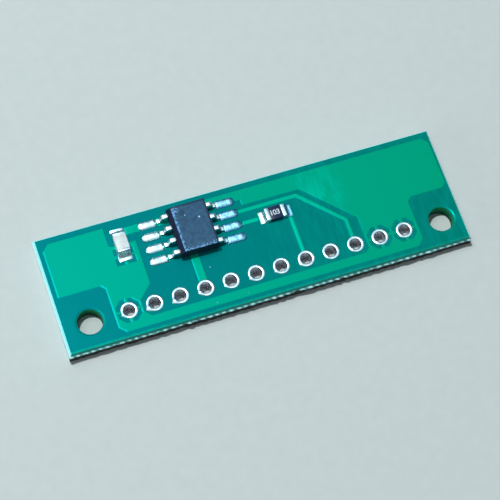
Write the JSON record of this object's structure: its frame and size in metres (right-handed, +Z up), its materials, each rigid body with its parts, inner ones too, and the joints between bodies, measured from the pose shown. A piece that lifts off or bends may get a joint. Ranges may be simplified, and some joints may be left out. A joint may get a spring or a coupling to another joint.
{
  "type": "immobilizer emulator",
  "caption": "Small circuit board that stands in for a vehicle immobilizer unit, with a surface-mount chip, passive parts and a row of plated wire holes.",
  "frame": {"origin": "under the centre of the board, on the plane the underside rests on", "axes": "+X along the row of wire holes, +Y from the holes to the back edge, +Z up out of the component side"},
  "size_m": [0.0408, 0.0124, 0.0032],
  "materials": {
    "laminate": "woven glass epoxy, broken edges",
    "solder_mask": "glossy green solder mask",
    "copper": "copper foil",
    "solder": "bright hot-air levelled solder",
    "tinned_lead": "satin tin plate",
    "moulding_compound": "moulded epoxy, fine matte grain",
    "capacitor_ceramic": "fired ceramic",
    "alumina": "fired alumina",
    "overcoat": "black glassy overcoat",
    "termination": "tin plate"
  },
  "bodies": {
    "root": {"board_laminate": "laminate", "top_solder_mask": "solder_mask", "ground_copper": "copper", "supply_copper": "copper", "pin_7_copper": "copper", "pin_6_copper": "copper", "resistor_track_copper": "copper", "chip_body": "moulding_compound", "capacitor_body": "capacitor_ceramic", "resistor_body": "alumina", "resistor_coating": "overcoat", "chip_pad_2": "copper", "chip_pad_3": "copper", "chip_pad_4": "copper", "chip_pad_5": "copper", "plated_hole_01": "solder", "plated_hole_02": "solder", "plated_hole_03": "solder", "plated_hole_04": "solder", "plated_hole_05": "solder", "plated_hole_06": "solder", "plated_hole_07": "solder", "plated_hole_08": "solder", "plated_hole_09": "solder", "plated_hole_10": "solder", "plated_hole_11": "solder", "plated_hole_12": "solder", "chip_lead_1": "tinned_lead", "chip_solder_1": "solder", "chip_lead_2": "tinned_lead", "chip_solder_2": "solder", "chip_lead_3": "tinned_lead", "chip_solder_3": "solder", "chip_lead_4": "tinned_lead", "chip_solder_4": "solder", "chip_lead_5": "tinned_lead", "chip_solder_5": "solder", "chip_lead_6": "tinned_lead", "chip_solder_6": "solder", "chip_lead_7": "tinned_lead", "chip_solder_7": "solder", "chip_lead_8": "tinned_lead", "chip_solder_8": "solder", "capacitor_termination_front": "termination", "capacitor_solder_front": "solder", "capacitor_termination_back": "termination", "capacitor_solder_back": "solder", "resistor_termination_left": "termination", "resistor_solder_left": "solder", "resistor_termination_right": "termination", "resistor_solder_right": "solder"}
  },
  "joints": []
}
